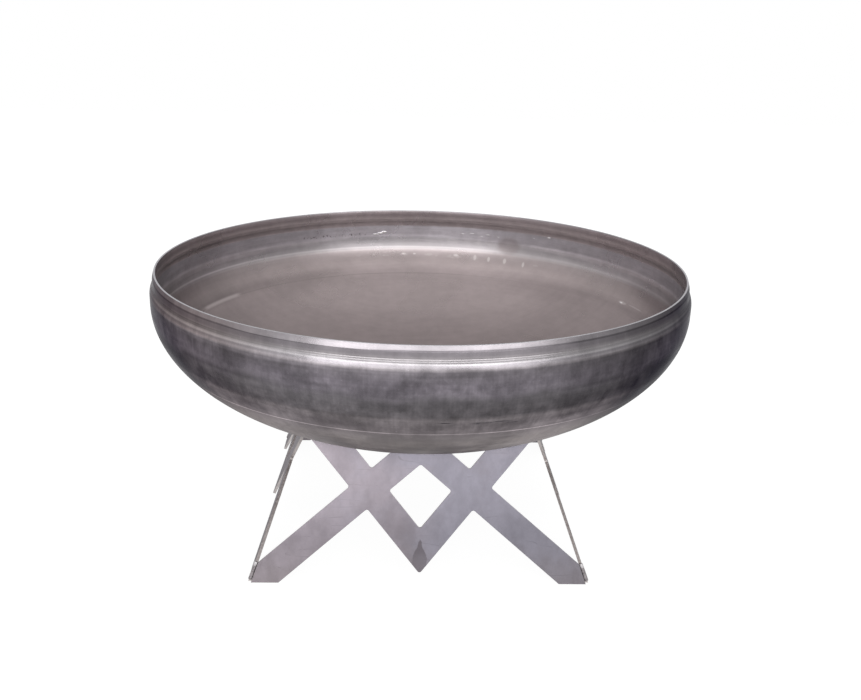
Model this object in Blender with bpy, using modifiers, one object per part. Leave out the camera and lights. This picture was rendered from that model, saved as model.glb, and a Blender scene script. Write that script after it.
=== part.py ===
# Fire pit: a dished steel bowl that rests in a square base of four identical leaning plates.
# The origin is on the ground, on the bowl's axis. The front is at -Y. Lengths are in metres.

import math

import bmesh
import bpy
from mathutils import Matrix, Vector

# Bowl: a pressed 2:1 dish with a straight side and a narrower lip
BOWL_DIAMETER = 0.9144
BOWL_WALL = 0.00476
BOWL_STRAIGHT = 0.0508
LIP_HEIGHT = 0.020
LIP_INSET = 0.0047
LIP_LEAN = math.radians(4)
JOGGLE_HEIGHT = 0.016
BEVEL_HEIGHT = 0.009
BEVEL_DEPTH = 0.002
RIM_EDGE = 0.0006
DRAIN_DIAMETER = 0.0127
BOWL_CLEARANCE = 0.1845

# Base: width across the outer faces on the ground, and the pattern cut into each plate
BASE_WIDTH = 0.550
LEAN = math.radians(20.5)
PLATE_THICKNESS = 0.00476
STRIP_WIDTH = 0.0458
FOOT_LENGTH = 0.044
TIP_HEIGHT = 0.0155
TOP_CORNER_EDGE = 0.0027
CUT_RADIUS = 0.004

# Welds at the four feet and under the four top corners
WELD_RADIUS = 0.0028
WELD_RIPPLE = 0.07
WELD_STEP = 0.0022
FOOT_WELD_START = 0.2
TOP_WELD_LENGTH = 0.0075

# Fit between pieces, and fineness
GAP = 0.0003
BOWL_STEPS = 72
DISH_POINTS = 18
JOGGLE_POINTS = 6
ARC_POINTS = 5

# Derived sizes
HALF_WIDTH = BASE_WIDTH / 2
DISH_RADIUS = BOWL_DIAMETER / 2
DISH_DEPTH = (BOWL_DIAMETER - 2 * BOWL_WALL) / 4 + BOWL_WALL
BOWL_DEPTH = BOWL_STRAIGHT + DISH_DEPTH
RIM_HEIGHT = BOWL_CLEARANCE + BOWL_DEPTH
SIN_LEAN, COS_LEAN = math.sin(LEAN), math.cos(LEAN)
EDGE_INSET = PLATE_THICKNESS * COS_LEAN + GAP / math.sqrt(2)
FOOT_OUTER = HALF_WIDTH - EDGE_INSET
FOOT_INNER = FOOT_OUTER - FOOT_LENGTH


def clear_scene():
    for obj in list(bpy.data.objects):
        bpy.data.objects.remove(obj, do_unlink=True)


def make_collection(name):
    collection = bpy.data.collections.new(name)
    bpy.context.scene.collection.children.link(collection)
    return collection


def make_material(name, colour, roughness, metallic):
    material = bpy.data.materials.new(name)
    material.use_nodes = True
    shader = material.node_tree.nodes["Principled BSDF"]
    shader.inputs["Base Color"].default_value = (*colour, 1.0)
    shader.inputs["Roughness"].default_value = roughness
    shader.inputs["Metallic"].default_value = metallic
    material.diffuse_color = (*colour, 1.0)
    return material


def add_object(name, data, collection, material=None, parent=None):
    obj = bpy.data.objects.new(name, data)
    collection.objects.link(obj)
    if material is not None:
        obj.data.materials.clear()
        obj.data.materials.append(material)
    if parent is not None:
        obj.parent = parent
    return obj


def mark_cutter(obj):
    obj.hide_render = True
    obj.display_type = "WIRE"


def cut(obj, cutter, name):
    modifier = obj.modifiers.new(name, "BOOLEAN")
    modifier.operation = "DIFFERENCE"
    modifier.object = cutter


def turn(obj, name):
    screw = obj.modifiers.new(name, "SCREW")
    screw.axis = "Z"
    screw.angle = math.tau
    screw.steps = screw.render_steps = BOWL_STEPS
    screw.use_merge_vertices = True
    screw.merge_threshold = 0.00005
    screw.use_smooth_shade = True


def curve_to_mesh(obj):
    # A curve's caps come loose from its walls, so they are welded here.
    depsgraph = bpy.context.evaluated_depsgraph_get()
    mesh = bpy.data.meshes.new_from_object(obj.evaluated_get(depsgraph))
    shape = bmesh.new()
    shape.from_mesh(mesh)
    bmesh.ops.remove_doubles(shape, verts=shape.verts, dist=0.00001)
    bmesh.ops.recalc_face_normals(shape, faces=shape.faces)
    shape.to_mesh(mesh)
    shape.free()
    return mesh


# Bowl profile: heights are measured under the rim
def lip_radius(depth):
    # The lip's outer side leans in towards the rim.
    return DISH_RADIUS - LIP_INSET - (LIP_HEIGHT - depth) * math.tan(LIP_LEAN)


def side_profile():
    # The side under the rim's bevel, as points (radius, height) with outward normals
    points = [((lip_radius(BEVEL_HEIGHT), -BEVEL_HEIGHT), (math.cos(LIP_LEAN), math.sin(LIP_LEAN)))]
    for i in range(JOGGLE_POINTS + 1):
        # The joggle is steepest under the lip and upright where the straight side starts.
        left = 1 - i / JOGGLE_POINTS
        tilt = math.atan(2 * LIP_INSET * left / JOGGLE_HEIGHT)
        if i == 0:
            tilt = (tilt + LIP_LEAN) / 2
        height = -LIP_HEIGHT - JOGGLE_HEIGHT * (1 - left)
        points.append(((DISH_RADIUS - LIP_INSET * left ** 2, height), (math.cos(tilt), math.sin(tilt))))
    last = math.acos(DRAIN_DIAMETER / 2 / DISH_RADIUS)
    for i in range(DISH_POINTS + 1):
        angle = last * i / DISH_POINTS
        radius, height = DISH_RADIUS * math.cos(angle), -BOWL_STRAIGHT - DISH_DEPTH * math.sin(angle)
        normal = (DISH_DEPTH * math.cos(angle), -DISH_RADIUS * math.sin(angle))
        size = math.hypot(*normal)
        points.append(((radius, height), (normal[0] / size, normal[1] / size)))
    return points


def offset_profile(distance):
    line = [(r + distance * n[0], z + distance * n[1]) for (r, z), n in side_profile()]
    line[-1] = (DRAIN_DIAMETER / 2, line[-1][1])
    return line


def profile_mesh(name, points, closed):
    mesh = bpy.data.meshes.new(name)
    shape = bmesh.new()
    verts = [shape.verts.new((r, 0.0, z)) for r, z in points]
    for first, second in zip(verts, verts[1:]):
        shape.edges.new((first, second))
    if closed:
        shape.edges.new((verts[-1], verts[0]))
    shape.to_mesh(mesh)
    shape.free()
    return mesh


def make_bowl(collection):
    outer, inner = offset_profile(0.0), offset_profile(-BOWL_WALL)
    # A flat land on top, a ground bevel on its outer side and a small break on its inner edge
    inner_top = lip_radius(0.0) - BOWL_WALL
    land = [(inner_top, -RIM_EDGE), (inner_top + RIM_EDGE, 0.0), (lip_radius(0.0) - BEVEL_DEPTH, 0.0)]
    points = land[2:] + outer + inner[::-1] + land[:2]
    steel = make_material("bowl_steel", (0.17, 0.165, 0.17), 0.5, 0.75)
    bowl = add_object("bowl", profile_mesh("bowl_profile", points, True), collection, steel)
    bowl.location = (0.0, 0.0, RIM_HEIGHT)
    turn(bowl, "turned dish")
    return bowl


def make_seat_cutter(collection):
    # The bowl's outside with the clearance added, closed over its top
    line = offset_profile(GAP)
    points = [(0.0, line[0][1])] + line + [(0.0, line[-1][1])]
    cutter = add_object("seat_cutter", profile_mesh("seat_profile", points, False), collection)
    cutter.location = (0.0, 0.0, RIM_HEIGHT)
    turn(cutter, "turned seat")
    mark_cutter(cutter)
    return cutter


def make_ground_cutter(collection):
    depth = 0.05
    mesh = bpy.data.meshes.new("ground_block")
    shape = bmesh.new()
    size = Matrix.Diagonal((2 * BASE_WIDTH, 2 * BASE_WIDTH, depth, 1.0))
    bmesh.ops.create_cube(shape, size=1.0, matrix=Matrix.Translation((0, 0, -depth / 2)) @ size)
    shape.to_mesh(mesh)
    shape.free()
    cutter = add_object("ground_cutter", mesh, collection)
    mark_cutter(cutter)
    return cutter


# Plate pattern, in the plate's own plane: u runs across it from the middle, s up its slope from the ground
def seat_height(u_at):
    # The slope distance where the outer face meets the bowl, for u given as a function of s
    def above(s):
        radius = math.hypot(u_at(s), HALF_WIDTH - s * SIN_LEAN)
        share = max(0.0, 1 - (radius / DISH_RADIUS) ** 2)
        return s * COS_LEAN - (RIM_HEIGHT - BOWL_STRAIGHT - DISH_DEPTH * math.sqrt(share))
    low, high = 0.0, RIM_HEIGHT / COS_LEAN
    for _ in range(50):
        middle = (low + high) / 2
        low, high = (middle, high) if above(middle) < 0 else (low, middle)
    return (low + high) / 2


def corner_u(s):
    return FOOT_OUTER - s * SIN_LEAN


def strips():
    # Slope and the lower and upper edge's height at u = 0 of the leg strip, then of the arm strip.
    # The legs' middle lines cross at the middle of the seat; the arms end just under the seat's corners.
    seat_middle = seat_height(lambda s: 0.0)
    seat_corner = seat_height(corner_u)
    reach = math.hypot(seat_middle, FOOT_INNER)
    leg = math.acos(STRIP_WIDTH / 2 / reach) - math.atan2(FOOT_INNER, seat_middle)
    arm_end = seat_corner - TOP_CORNER_EDGE
    arm = math.atan2(arm_end - TIP_HEIGHT, corner_u(arm_end))
    leg_low = math.tan(leg) * FOOT_INNER
    return {
        "leg": math.tan(leg), "leg_low": leg_low, "leg_high": leg_low + STRIP_WIDTH / math.cos(leg),
        "arm": math.tan(arm), "arm_low": TIP_HEIGHT, "arm_high": TIP_HEIGHT + STRIP_WIDTH / math.cos(arm),
        "arm_end": arm_end, "seat_corner": seat_corner,
    }


def crossing(cuts, leg_edge, arm_edge):
    u = (cuts[leg_edge] - cuts[arm_edge]) / (cuts["leg"] + cuts["arm"])
    return u, cuts[arm_edge] + cuts["arm"] * u


def leg_corner(cuts):
    # Where the leg's upper edge meets the plate's slanted side
    s = (cuts["leg_high"] - cuts["leg"] * FOOT_OUTER) / (1 - cuts["leg"] * SIN_LEAN)
    return corner_u(s), s


def rounded(points):
    # Each point is (u, s, radius); a corner with a radius becomes an arc.
    line = []
    for i, (u, s, radius) in enumerate(points):
        here = Vector((u, s))
        back = (Vector(points[i - 1][:2]) - here).normalized()
        ahead = (Vector(points[(i + 1) % len(points)][:2]) - here).normalized()
        if radius == 0:
            line.append((u, s))
            continue
        half = math.acos(max(-1.0, min(1.0, back.dot(ahead)))) / 2
        middle = here + (back + ahead).normalized() * radius / math.sin(half)
        start, end = back * radius / math.tan(half) + here, ahead * radius / math.tan(half) + here
        first = math.atan2(start.y - middle.y, start.x - middle.x)
        sweep = math.remainder(math.atan2(end.y - middle.y, end.x - middle.x) - first, math.tau)
        for k in range(ARC_POINTS + 1):
            angle = first + sweep * k / ARC_POINTS
            line.append((middle.x + radius * math.cos(angle), middle.y + radius * math.sin(angle)))
    return line


def panel_outline(cuts):
    below = 2 * PLATE_THICKNESS
    above = cuts["seat_corner"] + 4 * PLATE_THICKNESS
    half = [
        (0.0, cuts["arm_low"], CUT_RADIUS),
        (*crossing(cuts, "leg_low", "arm_low"), CUT_RADIUS),
        (FOOT_INNER + below / cuts["leg"], -below, 0),
        (corner_u(-below), -below, 0),
        (*leg_corner(cuts), 0),
        (*crossing(cuts, "leg_high", "arm_low"), CUT_RADIUS),
        (corner_u(cuts["arm_end"]), cuts["arm_end"], 0),
        (corner_u(above), above, 0),
        ((above - cuts["arm_high"]) / cuts["arm"], above, 0),
        (*crossing(cuts, "leg_high", "arm_high"), CUT_RADIUS),
        (0.0, cuts["leg_high"], 0),
    ]
    return rounded(half + [(-u, s, r) for u, s, r in half[-2:0:-1]])


def diamond_outline(cuts):
    u, s = crossing(cuts, "leg_low", "arm_high")
    corners = [(0.0, cuts["arm_high"]), (u, s), (0.0, cuts["leg_low"]), (-u, s)]
    return rounded([(*corner, CUT_RADIUS) for corner in corners])


def flat_plate(name, outlines, thickness, collection):
    curve = bpy.data.curves.new(name, "CURVE")
    curve.dimensions = "2D"
    curve.fill_mode = "BOTH"
    curve.extrude = thickness / 2
    for outline in outlines:
        spline = curve.splines.new("POLY")
        spline.points.add(len(outline) - 1)
        for point, (u, s) in zip(spline.points, outline):
            point.co = (u, s, 0.0, 1.0)
        spline.use_cyclic_u = True
    pattern = add_object(name, curve, collection)
    mesh = curve_to_mesh(pattern)
    bpy.data.objects.remove(pattern)
    return mesh


def make_panels(collection, base, cutters):
    cuts = strips()
    mesh = flat_plate("panel_pattern", [panel_outline(cuts), diamond_outline(cuts)], PLATE_THICKNESS, collection)
    half = PLATE_THICKNESS / 2
    for i, side in enumerate(("front", "right", "rear", "left")):
        steel = make_material("panel_" + side + "_steel", (0.30, 0.29, 0.315), 0.48, 0.7)
        panel = add_object("panel_" + side, mesh.copy(), collection, steel, base)
        turned = Matrix.Rotation(i * math.pi / 2, 3, "Z")
        panel.location = turned @ Vector((0.0, half * COS_LEAN - HALF_WIDTH, -half * SIN_LEAN))
        panel.rotation_euler = (math.pi / 2 - LEAN, 0.0, i * math.pi / 2)
        for cutter in cutters:
            cut(panel, cutter, cutter.name.replace("_", " "))


# Welds: round beads in the open groove between two plates' edges
def bead_centre(s):
    inner = HALF_WIDTH - s * SIN_LEAN - PLATE_THICKNESS * COS_LEAN
    point = Vector((inner, -inner, s * COS_LEAN - PLATE_THICKNESS * SIN_LEAN))
    outward = Vector((COS_LEAN, -COS_LEAN, 2 * SIN_LEAN)).normalized()
    slant = math.sqrt(1 + SIN_LEAN ** 2)
    half_angle = math.acos(SIN_LEAN ** 2) / 2
    reach = (WELD_RADIUS * (1 + WELD_RIPPLE) + GAP - GAP / math.sqrt(2) / slant) / math.sin(half_angle)
    return point + outward * reach


def bead_mesh(name, start, end, collection):
    curve = bpy.data.curves.new(name, "CURVE")
    curve.dimensions = "3D"
    curve.bevel_depth = WELD_RADIUS
    curve.bevel_resolution = 2
    curve.use_fill_caps = True
    count = max(4, round((end - start) / WELD_STEP)) + 1
    spline = curve.splines.new("POLY")
    spline.points.add(count - 1)
    for i, point in enumerate(spline.points):
        part = i / (count - 1)
        point.co = (*bead_centre(start + (end - start) * part), 1.0)
        ripple = 1 + WELD_RIPPLE * math.cos(math.pi * i)
        point.radius = ripple * (0.55 if i in (0, count - 1) else 1.0)
    pattern = add_object(name, curve, collection)
    mesh = curve_to_mesh(pattern)
    bpy.data.objects.remove(pattern)
    mesh.shade_smooth()
    return mesh


def make_welds(collection, base, seat):
    cuts = strips()
    corner_edge = leg_corner(cuts)[1]
    spans = {
        "foot": (FOOT_WELD_START * corner_edge, corner_edge),
        "top": (cuts["arm_end"] - 0.45 * TOP_WELD_LENGTH, cuts["arm_end"] + 0.55 * TOP_WELD_LENGTH),
    }
    for kind, (start, end) in spans.items():
        mesh = bead_mesh("bead_" + kind, start, end, collection)
        for i, corner in enumerate(("front_right", "rear_right", "rear_left", "front_left")):
            name = "weld_" + kind + "_" + corner
            steel = make_material(name + "_steel", (0.33, 0.32, 0.32), 0.4, 0.8)
            weld = add_object(name, mesh.copy(), collection, steel, base)
            weld.rotation_euler = (0.0, 0.0, i * math.pi / 2)
            if kind == "top":
                cut(weld, seat, "seat cutter")


def build():
    clear_scene()
    parts = make_collection("fire_pit")
    guides = make_collection("cutters")
    base = bpy.data.objects.new("base_frame", None)
    parts.objects.link(base)
    seat = make_seat_cutter(guides)
    ground = make_ground_cutter(guides)
    make_bowl(parts)
    make_panels(parts, base, (seat, ground))
    make_welds(parts, base, seat)
    bpy.context.view_layer.update()


build()
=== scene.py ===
import math

import bmesh
import bpy
from mathutils import Matrix, Vector


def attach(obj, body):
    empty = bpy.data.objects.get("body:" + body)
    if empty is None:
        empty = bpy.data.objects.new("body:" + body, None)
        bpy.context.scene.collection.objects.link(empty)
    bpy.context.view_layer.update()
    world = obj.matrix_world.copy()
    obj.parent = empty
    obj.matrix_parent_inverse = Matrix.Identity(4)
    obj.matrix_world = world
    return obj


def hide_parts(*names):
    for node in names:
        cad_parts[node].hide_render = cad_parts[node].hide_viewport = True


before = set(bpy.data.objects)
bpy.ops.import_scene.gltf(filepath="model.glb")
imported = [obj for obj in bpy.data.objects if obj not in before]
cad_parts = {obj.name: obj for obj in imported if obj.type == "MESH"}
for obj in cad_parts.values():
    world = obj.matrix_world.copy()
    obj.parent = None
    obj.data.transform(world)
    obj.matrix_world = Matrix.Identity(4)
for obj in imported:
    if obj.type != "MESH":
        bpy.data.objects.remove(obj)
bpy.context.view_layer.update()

print("frame loaded:", len(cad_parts), "nodes")


# Small helpers for node trees: a socket given as an input is linked, anything else is set.
def addNode(tree, kind, inputs=None, **settings):
    node = tree.nodes.new(kind)
    for key, value in settings.items():
        setattr(node, key, value)
    for key, value in (inputs or {}).items():
        if isinstance(value, bpy.types.NodeSocket):
            tree.links.new(value, node.inputs[key])
        else:
            node.inputs[key].default_value = value
    return node


def calc(tree, operation, *values):
    return addNode(tree, "ShaderNodeMath", dict(enumerate(values)), operation=operation).outputs[0]


def vectorCalc(tree, operation, *values, output="Vector"):
    node = addNode(tree, "ShaderNodeVectorMath", dict(enumerate(values)), operation=operation)
    return node.outputs[output]


def splitVector(tree, vector):
    return addNode(tree, "ShaderNodeSeparateXYZ", {0: vector}).outputs


def joinVector(tree, *parts):
    return addNode(tree, "ShaderNodeCombineXYZ", dict(enumerate(parts))).outputs[0]


def objectPlace(tree):
    return addNode(tree, "ShaderNodeTexCoord").outputs["Object"]


def fade(tree, value, start, end, low=0.0, high=1.0):
    # Goes smoothly from low to high as the value goes from start to end
    names = {"Value": value, "From Min": start, "From Max": end, "To Min": low, "To Max": high}
    return addNode(tree, "ShaderNodeMapRange", names, interpolation_type="SMOOTHSTEP").outputs[0]


def fadeAngle(tree, angle, start, end, low=0.0, high=1.0):
    return fade(tree, angle, math.radians(start), math.radians(end), low, high)


def product(tree, *factors):
    total = factors[0]
    for factor in factors[1:]:
        total = calc(tree, "MULTIPLY", total, factor)
    return total


def varied(tree, value, reach, spread):
    # Makes a factor around 1 out of a noise: it goes this far either way as the noise covers its reach
    return fade(tree, value, 0.5 - reach, 0.5 + reach, 1.0 - spread, 1.0 + spread)


def centred(tree, value, size):
    # Makes an offset around 0 out of a noise
    return product(tree, calc(tree, "SUBTRACT", value, 0.5), size)


def partly(tree, factor, weight):
    # The factor where the weight is 1, and no change where it is 0
    return calc(tree, "ADD", 1.0, product(tree, calc(tree, "SUBTRACT", factor, 1.0), weight))


def band(tree, value, low, high, soft):
    # 1 between low and high, 0 outside, with soft edges
    rising = fade(tree, value, low - soft, low + soft)
    return product(tree, rising, fade(tree, value, high + soft, high - soft))


def line(tree, value, middle, half, soft):
    return band(tree, value, middle - half, middle + half, soft)


def oval(tree, first, second, middle, reach):
    # 1 in the middle of an oval with the given half lengths, fading to 0 at its edge
    parts = []
    for value, centre, half in zip((first, second), middle, reach):
        parts.append(calc(tree, "DIVIDE", calc(tree, "SUBTRACT", value, centre), half))
    away = vectorCalc(tree, "LENGTH", joinVector(tree, *parts), output="Value")
    return fade(tree, away, 1.0, 0.5)


def stretched(tree, vector, scale, turn=(0, 0, 0)):
    names = {"Vector": vector, "Scale": scale, "Rotation": turn}
    return addNode(tree, "ShaderNodeMapping", names).outputs[0]


def noise(tree, vector, detail, roughness, distortion=0.0):
    names = {"Vector": vector, "Detail": detail, "Roughness": roughness, "Distortion": distortion}
    return addNode(tree, "ShaderNodeTexNoise", {"Scale": 1.0, **names}).outputs["Fac"]


def placeGrain(tree, place, stretch, detail=3.0, roughness=0.6, distortion=0.0, turn=(0, 0, 0)):
    # Noise on the object's own coordinates: stretch is the number of cells in a metre along X, Y and Z
    return noise(tree, stretched(tree, place, stretch, turn), detail, roughness, distortion)


def makeGrains(tree, place, grains):
    return {name: placeGrain(tree, place, **values) for name, values in grains.items()}


def mottled(tree, grains, spread):
    # Each noise as a factor of its own around 1, and all of them together
    return product(tree, *(varied(tree, grains[name], *values) for name, values in spread.items()))


def opaque(colour):
    # A plain colour gets the alpha that a colour socket needs
    return colour if isinstance(colour, bpy.types.NodeSocket) else (*colour, 1)


def mixColour(tree, share, first, second, how="MIX"):
    inputs = {0: share, 6: opaque(first), 7: opaque(second)}
    return addNode(tree, "ShaderNodeMix", inputs, data_type="RGBA", blend_type=how).outputs[2]


def painted(tree, colour, *coats):
    # Lays coats over a colour, each given as its share and its own colour
    for share, coat in coats:
        colour = mixColour(tree, share, colour, coat)
    return colour


def scaled(tree, colour, factor):
    node = addNode(tree, "ShaderNodeVectorMath", {0: colour, "Scale": factor}, operation="SCALE")
    return node.outputs[0]


def ramp(tree, value, stops):
    node = addNode(tree, "ShaderNodeValToRGB", {0: value})
    steps = node.color_ramp.elements
    while len(steps) < len(stops):
        steps.new(1.0)
    for step, (place, colour) in zip(steps, stops):
        step.position = place
        step.color = opaque(colour)
    return node.outputs[0]


def newMaterial(name, finish):
    material = bpy.data.materials.new(name)
    material.use_nodes = True
    shader = material.node_tree.nodes["Principled BSDF"]
    shader.inputs["Metallic"].default_value = finish["metallic"]
    for key, value in finish.get("fixed", {}).items():
        shader.inputs[key].default_value = value
    return material, material.node_tree, shader


def dress(tree, shader, colour, roughness, height, distance, strength=1.0):
    # Links a material's colour and roughness, and a bump that is this many metres deep
    bump = addNode(tree, "ShaderNodeBump", {"Height": height, "Distance": distance, "Strength": strength})
    for name, value in (("Base Color", colour), ("Roughness", roughness), ("Normal", bump.outputs[0])):
        tree.links.new(value, shader.inputs[name])


# The camera stands where the photograph was taken from. The focal length, the picture's width and the
# shift are in pixels, the distances in metres and the angles in degrees.
view = {
    "focal": 969.0, "frame": 861.0, "shift": -20.7, "distance": 1.6336, "height": 0.8753,
    "yaw": 1.414, "pan": -0.620, "pitch": 18.083, "roll": -1.44, "nearest": 0.01,
}


def makeCamera():
    lens = bpy.data.cameras.new("camera")
    lens.sensor_width = 36.0
    lens.lens = view["focal"] / view["frame"] * lens.sensor_width
    lens.shift_y = view["shift"] / view["frame"]
    lens.clip_start = view["nearest"]
    camera = bpy.data.objects.new("camera", lens)
    bpy.context.scene.collection.objects.link(camera)
    # The last turn levels the camera, because it looks along its own -Z.
    turns = [("Z", view["pan"] - view["yaw"]), ("X", -view["pitch"]), ("Y", view["roll"]), ("X", 90.0)]
    aim = Matrix.Identity(3)
    for axis, degrees in turns:
        aim = aim @ Matrix.Rotation(math.radians(degrees), 3, axis)
    orbit = Matrix.Rotation(math.radians(-view["yaw"]), 3, "Z")
    place = orbit @ Vector((0, -view["distance"], view["height"]))
    camera.matrix_world = Matrix.Translation(place) @ aim.to_4x4()
    bpy.context.scene.camera = camera


makeCamera()

# Light: one wide low softbox behind the camera, one overhead, and a pale surround
studio = {
    "world": 0.7,
    "softboxes": {
        "front_softbox": {
            "place": (0.25, -3.5, 1.485), "towards": (0.0, 0.0, 0.3), "size": (7.0, 1.09), "radiance": 3.2,
        },
        "top_softbox": {
            "place": (0.0, -0.2, 2.6), "towards": (0.0, 0.0, 0.2), "size": (2.4, 2.4), "radiance": 0.5,
        },
    },
    "floorSize": 14.0, "floorColour": (0.93, 0.93, 0.93), "floorRoughness": 0.9, "floorGlow": 1.08,
    "shadowShare": 0.12, "shadowReach": (0.35, 0.9),
}


def makeSoftbox(name, values):
    lamp = bpy.data.lights.new(name, "AREA")
    lamp.shape = "RECTANGLE"
    lamp.size, lamp.size_y = values["size"]
    lamp.energy = values["radiance"] * math.pi * lamp.size * lamp.size_y
    softbox = bpy.data.objects.new(name, lamp)
    bpy.context.scene.collection.objects.link(softbox)
    place = Vector(values["place"])
    softbox.location = place
    softbox.rotation_euler = (Vector(values["towards"]) - place).to_track_quat("-Z", "Y").to_euler()
    softbox.visible_camera = False


def seenDirectly(tree):
    # 1 for what the camera sees, straight or in a mirror or through glass
    path = addNode(tree, "ShaderNodeLightPath")
    straight = calc(tree, "MAXIMUM", path.outputs["Is Camera Ray"], path.outputs["Is Glossy Ray"])
    return calc(tree, "MAXIMUM", straight, path.outputs["Is Transmission Ray"])


def makeWorld():
    world = bpy.data.worlds.new("studio")
    world.use_nodes = True
    bpy.context.scene.world = world
    tree = world.node_tree
    background = tree.nodes["Background"]
    background.inputs["Color"].default_value = (1, 1, 1, 1)
    strength = fade(tree, seenDirectly(tree), 0.0, 1.0, studio["world"], 1.0)
    tree.links.new(strength, background.inputs["Strength"])


def makeFloor():
    half = studio["floorSize"] / 2
    corners = [(-half, -half, 0), (half, -half, 0), (half, half, 0), (-half, half, 0)]
    mesh = bpy.data.meshes.new("floor")
    mesh.from_pydata(corners, [], [(0, 1, 2, 3)])
    floor = bpy.data.objects.new("floor", mesh)
    bpy.context.scene.collection.objects.link(floor)
    material = bpy.data.materials.new("pale_floor")
    material.use_nodes = True
    tree = material.node_tree
    shader = tree.nodes["Principled BSDF"]
    shader.inputs["Base Color"].default_value = opaque(studio["floorColour"])
    shader.inputs["Roughness"].default_value = studio["floorRoughness"]
    shader.inputs["Specular IOR Level"].default_value = 0.0
    glow = addNode(tree, "ShaderNodeEmission", {"Color": (1, 1, 1, 1), "Strength": studio["floorGlow"]})
    # White far from the object, and near it part of its own shaded colour, which keeps the shadow
    reach = vectorCalc(tree, "LENGTH", objectPlace(tree), output="Value")
    white = fade(tree, reach, *studio["shadowReach"], 1.0 - studio["shadowShare"], 1.0)
    share = calc(tree, "MULTIPLY", seenDirectly(tree), white)
    both = addNode(tree, "ShaderNodeMixShader", {0: share, 1: shader.outputs[0], 2: glow.outputs[0]})
    tree.links.new(both.outputs[0], tree.nodes["Material Output"].inputs["Surface"])
    mesh.materials.append(material)


for name, values in studio["softboxes"].items():
    makeSoftbox(name, values)
makeWorld()
makeFloor()
bpy.context.scene.view_settings.view_transform = "Standard"
print("camera, lamps and floor made")

# The bowl's sizes in metres and degrees, and its numbers of points. Depths are read from the rim down.
bowlSize = {
    "diameter": 0.9144, "wall": 0.00476, "straight": 0.0508, "rimHeight": 0.46628, "drain": 0.0127,
    "lipHeight": 0.020, "lipInset": 0.0047, "lipLean": 4.0, "joggle": 0.016,
    "bevelHeight": 0.009, "bevelDepth": 0.002, "outerEdge": 0.0004, "innerEdge": 0.0008, "innerTop": 0.002,
    # The press leaves a fine ridge and groove under the lip: their depths, heights and width
    "ridgeDepth": 0.0197, "ridge": 0.0004, "grooveDepth": 0.0222, "groove": 0.0003, "ridgeWidth": 0.0009,
    "lipPoints": 8, "lipEnd": 0.0175, "finePoints": 9, "fineDepth": 0.0181, "fineStep": 0.0006,
    "joggleStart": 4, "jogglePoints": 20, "dishPoints": 60, "steps": 288, "join": 0.00002, "sharpFrom": 28,
}


def bowlCoordinates(tree):
    # Depth under the rim, angles from the front and from the back (right is positive), and the way outwards
    place = objectPlace(tree)
    x, y, z = splitVector(tree, place)
    return {
        "place": place, "x": x,
        "depth": calc(tree, "SUBTRACT", bowlSize["rimHeight"], z),
        "circle": vectorCalc(tree, "NORMALIZE", vectorCalc(tree, "MULTIPLY", place, (1, 1, 0))),
        "angle": calc(tree, "ARCTAN2", x, calc(tree, "MULTIPLY", y, -1.0)),
        "back": calc(tree, "ARCTAN2", x, y),
    }


def wallGrain(tree, spot, along, up, detail=3.0, roughness=0.6):
    # Noise that follows the wall: along is the number of cells in a radian round it, up those in a metre
    circle = stretched(tree, spot["circle"], (along, along, along))
    height = stretched(tree, joinVector(tree, 0.0, 0.0, spot["depth"]), (up, up, up))
    return noise(tree, vectorCalc(tree, "ADD", circle, height), detail, roughness)


def bowlGrains(tree, spot, finish):
    grains = makeGrains(tree, spot["place"], finish["grains"])
    for name, values in finish["wallGrains"].items():
        grains[name] = wallGrain(tree, spot, **values)
    return grains


def zoneColour(tree, depth, zones):
    reach = 300.0
    place = calc(tree, "DIVIDE", calc(tree, "MULTIPLY", depth, 1000.0), reach)
    return ramp(tree, place, [(millimetres / reach, colour) for millimetres, colour in zones])


def byAngle(tree, angle, stops):
    # A factor that follows the angle in degrees and closes on itself at the far side of the bowl
    farSide = (stops[0][1] + stops[-1][1]) / 2
    closed = [(-180, farSide), *stops, (180, farSide)]
    place = calc(tree, "ADD", calc(tree, "DIVIDE", angle, math.tau), 0.5)
    # The ramp holds halves of the factors, because its values end at 1.
    halves = [(degrees / 360 + 0.5, (factor / 2,) * 3) for degrees, factor in closed]
    return calc(tree, "MULTIPLY", ramp(tree, place, halves), 2.0)


# Painted highlight and shade: each depth band gets a brightness factor that changes with the angle round the
# bowl
def paintedLightByAngle(tree, depth, angle, turns):
    # Each band takes over from the one above it
    factor = 1.0
    for start, soft, stops in turns:
        share = fade(tree, depth, (start - soft) / 1000, (start + soft) / 1000)
        change = calc(tree, "SUBTRACT", byAngle(tree, angle, stops), factor)
        factor = calc(tree, "ADD", factor, product(tree, change, share))
    return factor


def markSum(tree, angle, depth, marks):
    # Small ovals, each given as angle, half length, depth and half height, in degrees and millimetres
    total = 0.0
    for degrees, halfDegrees, millimetres, halfMillimetres in marks:
        middle = (math.radians(degrees), millimetres / 1000)
        mark = oval(tree, angle, depth, middle, (math.radians(halfDegrees), halfMillimetres / 1000))
        total = calc(tree, "MAXIMUM", total, mark)
    return total


def window(tree, angle, depth, angles, softAngle, depths, softDepth):
    # 1 between two angles in degrees and two depths, with soft edges
    first, last, soft = (math.radians(degrees) for degrees in (*angles, softAngle))
    return product(tree, band(tree, depth, *depths, softDepth), band(tree, angle, first, last, soft))


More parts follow.
